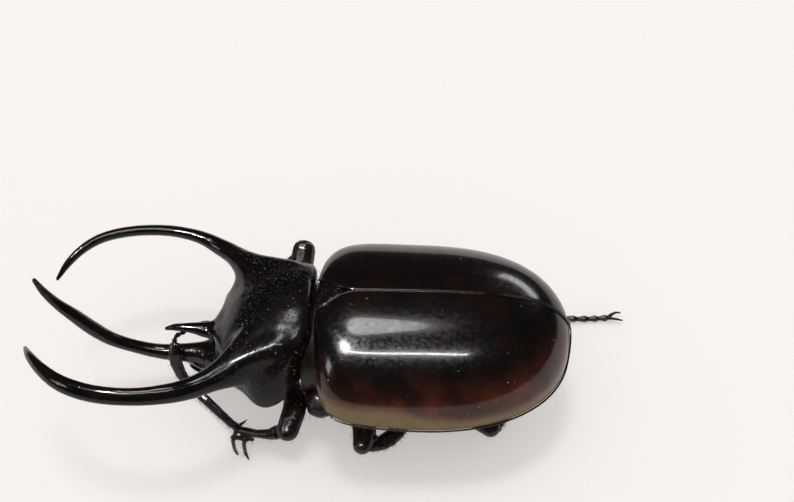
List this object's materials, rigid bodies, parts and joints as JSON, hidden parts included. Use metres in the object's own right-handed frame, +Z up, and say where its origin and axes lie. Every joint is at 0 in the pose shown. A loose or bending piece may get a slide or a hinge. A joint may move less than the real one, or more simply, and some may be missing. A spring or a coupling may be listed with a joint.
{
  "type": "atlas beetle model",
  "caption": "Still life-size model of a dried atlas beetle on its belly, with long curved horns, smooth domed wing cases and folded spiny legs.",
  "frame": {"origin": "centre of the bounding box on the plane that the beetle lies on", "axes": "+Z up out of the back, +X along the body from the head towards the tail end, +Y towards the beetle's right side"},
  "size_m": [0.1002, 0.0402, 0.0254],
  "materials": {
    "wing_case": "polished black chitin with a red brown cast",
    "horn": "polished black chitin",
    "shield": "glossy black chitin with fine punctures",
    "underside": "satin brown black chitin",
    "leg": "glossy black chitin",
    "eye": "dark brown, glossy",
    "feeler": "satin red brown"
  },
  "bodies": {
    "root": {"abdomen": "underside", "antenna_left": "feeler", "antenna_right": "feeler", "coxa_fore_left": "leg", "coxa_fore_right": "leg", "coxa_hind_left": "leg", "coxa_hind_right": "leg", "coxa_middle_left": "leg", "coxa_middle_right": "leg", "elytron_left": "wing_case", "elytron_right": "wing_case", "eye_left": "eye", "eye_right": "eye", "femur_fore_left": "leg", "femur_fore_right": "leg", "femur_hind_left": "leg", "femur_hind_right": "leg", "femur_middle_left": "leg", "femur_middle_right": "leg", "head": "shield", "horn_head": "horn", "horn_pronotum_left": "horn", "horn_pronotum_middle": "horn", "horn_pronotum_right": "horn", "mandible_left": "horn", "mandible_right": "horn", "pronotum": "shield", "pygidium": "underside", "scutellum": "shield", "tarsus_fore_left": "leg", "tarsus_fore_right": "leg", "tarsus_hind_left": "leg", "tarsus_hind_right": "leg", "tarsus_middle_left": "leg", "tarsus_middle_right": "leg", "thorax_underside": "underside", "tibia_fore_left": "leg", "tibia_fore_right": "leg", "tibia_hind_left": "leg", "tibia_hind_right": "leg", "tibia_middle_left": "leg", "tibia_middle_right": "leg"}
  },
  "joints": []
}
